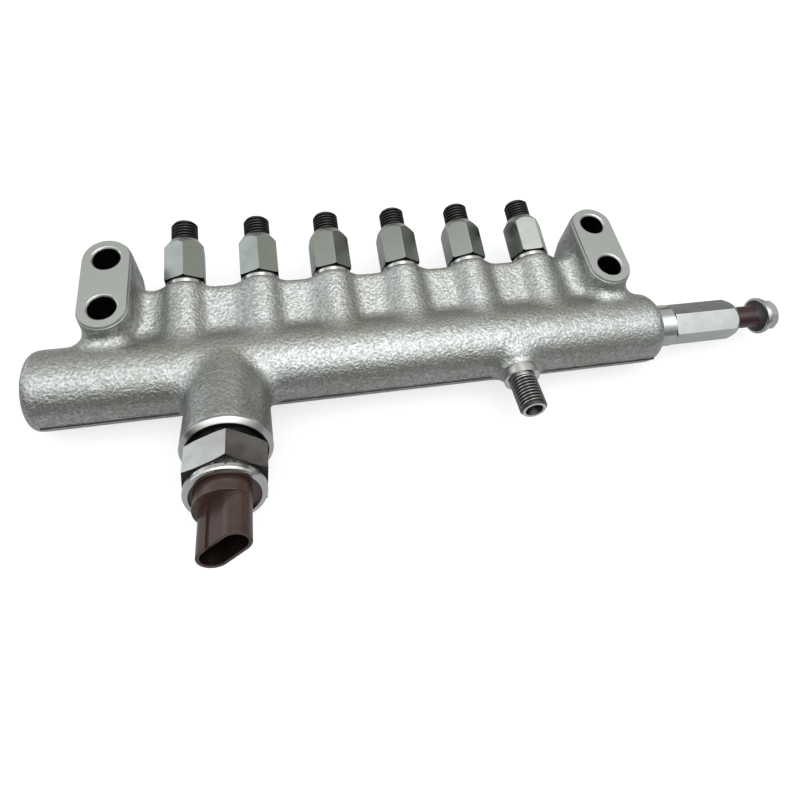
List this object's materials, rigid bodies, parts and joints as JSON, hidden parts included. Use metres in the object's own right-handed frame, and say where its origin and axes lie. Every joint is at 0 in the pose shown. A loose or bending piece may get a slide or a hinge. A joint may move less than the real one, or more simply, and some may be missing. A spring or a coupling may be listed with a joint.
{
  "type": "fuel rail",
  "caption": "Forged steel common rail with a row of screwed-in outlet flow dampers, two bolt pads, threaded inlet, pressure sensor with plug socket, and a pressure limiter on one end.",
  "frame": {"origin": "middle of the four pad holes, on the plane of the pads' machined feet", "axes": "+X along the tube towards the pressure limiter, +Y towards the outlets, +Z out of the machined pad faces"},
  "size_m": [0.342, 0.1577, 0.0558],
  "materials": {
    "forged_steel": "shot-blasted and zinc plated",
    "plated_steel": "satin plated",
    "sensor_steel": "bright turned",
    "hard_steel": "ground",
    "spring_steel": "oiled wire",
    "bright_steel": "bright plated",
    "connector_plastic": "moulded, glossy",
    "bush_plastic": "moulded, glossy",
    "circuit_board": "solder mask",
    "seal_rubber": "matt",
    "tinned_brass": "tinned"
  },
  "bodies": {
    "rail": {"rail_body": "forged_steel", "damper_body_1": "plated_steel", "damper_stop_1": "hard_steel", "damper_spring_1": "spring_steel", "damper_body_2": "plated_steel", "damper_stop_2": "hard_steel", "damper_spring_2": "spring_steel", "damper_body_3": "plated_steel", "damper_stop_3": "hard_steel", "damper_spring_3": "spring_steel", "damper_body_4": "plated_steel", "damper_stop_4": "hard_steel", "damper_spring_4": "spring_steel", "damper_body_5": "plated_steel", "damper_stop_5": "hard_steel", "damper_spring_5": "spring_steel", "damper_body_6": "plated_steel", "damper_stop_6": "hard_steel", "damper_spring_6": "spring_steel", "sensor_body": "sensor_steel", "sensor_stem": "hard_steel", "sensor_board": "circuit_board", "sensor_o_ring": "seal_rubber", "sensor_plug": "connector_plastic", "sensor_terminals": "tinned_brass", "limiter_body": "plated_steel", "limiter_seat": "hard_steel", "limiter_spring": "spring_steel", "limiter_adjuster": "hard_steel", "return_bush": "bush_plastic", "return_washer": "bright_steel", "return_bolt": "bright_steel"},
    "piston_1": {"damper_piston_1": "hard_steel"},
    "piston_2": {"damper_piston_2": "hard_steel"},
    "piston_3": {"damper_piston_3": "hard_steel"},
    "piston_4": {"damper_piston_4": "hard_steel"},
    "piston_5": {"damper_piston_5": "hard_steel"},
    "piston_6": {"damper_piston_6": "hard_steel"},
    "relief_valve": {"limiter_valve": "hard_steel"}
  },
  "joints": [
    {"name": "damper_slide_1", "type": "slide", "parent": "rail", "child": "piston_1", "axis": [0, 0.9914, 0.1305], "range_m": [0, 0.004], "stiffness_N_per_m": 3000, "springref_m": -0.004, "deforming": ["damper_spring_1"]},
    {"name": "damper_slide_2", "type": "slide", "parent": "rail", "child": "piston_2", "axis": [0, 0.9914, 0.1305], "range_m": [0, 0.004], "stiffness_N_per_m": 3000, "springref_m": -0.004, "deforming": ["damper_spring_2"]},
    {"name": "damper_slide_3", "type": "slide", "parent": "rail", "child": "piston_3", "axis": [0, 0.9914, 0.1305], "range_m": [0, 0.004], "stiffness_N_per_m": 3000, "springref_m": -0.004, "deforming": ["damper_spring_3"]},
    {"name": "damper_slide_4", "type": "slide", "parent": "rail", "child": "piston_4", "axis": [0, 0.9914, 0.1305], "range_m": [0, 0.004], "stiffness_N_per_m": 3000, "springref_m": -0.004, "deforming": ["damper_spring_4"]},
    {"name": "damper_slide_5", "type": "slide", "parent": "rail", "child": "piston_5", "axis": [0, 0.9914, 0.1305], "range_m": [0, 0.004], "stiffness_N_per_m": 3000, "springref_m": -0.004, "deforming": ["damper_spring_5"]},
    {"name": "damper_slide_6", "type": "slide", "parent": "rail", "child": "piston_6", "axis": [0, 0.9914, 0.1305], "range_m": [0, 0.004], "stiffness_N_per_m": 3000, "springref_m": -0.004, "deforming": ["damper_spring_6"]},
    {"name": "limiter_valve_slide", "type": "slide", "parent": "rail", "child": "relief_valve", "axis": [1, 0, 0], "range_m": [0, 0.0012], "stiffness_N_per_m": 5000, "springref_m": -0.002, "deforming": ["limiter_spring"]}
  ]
}
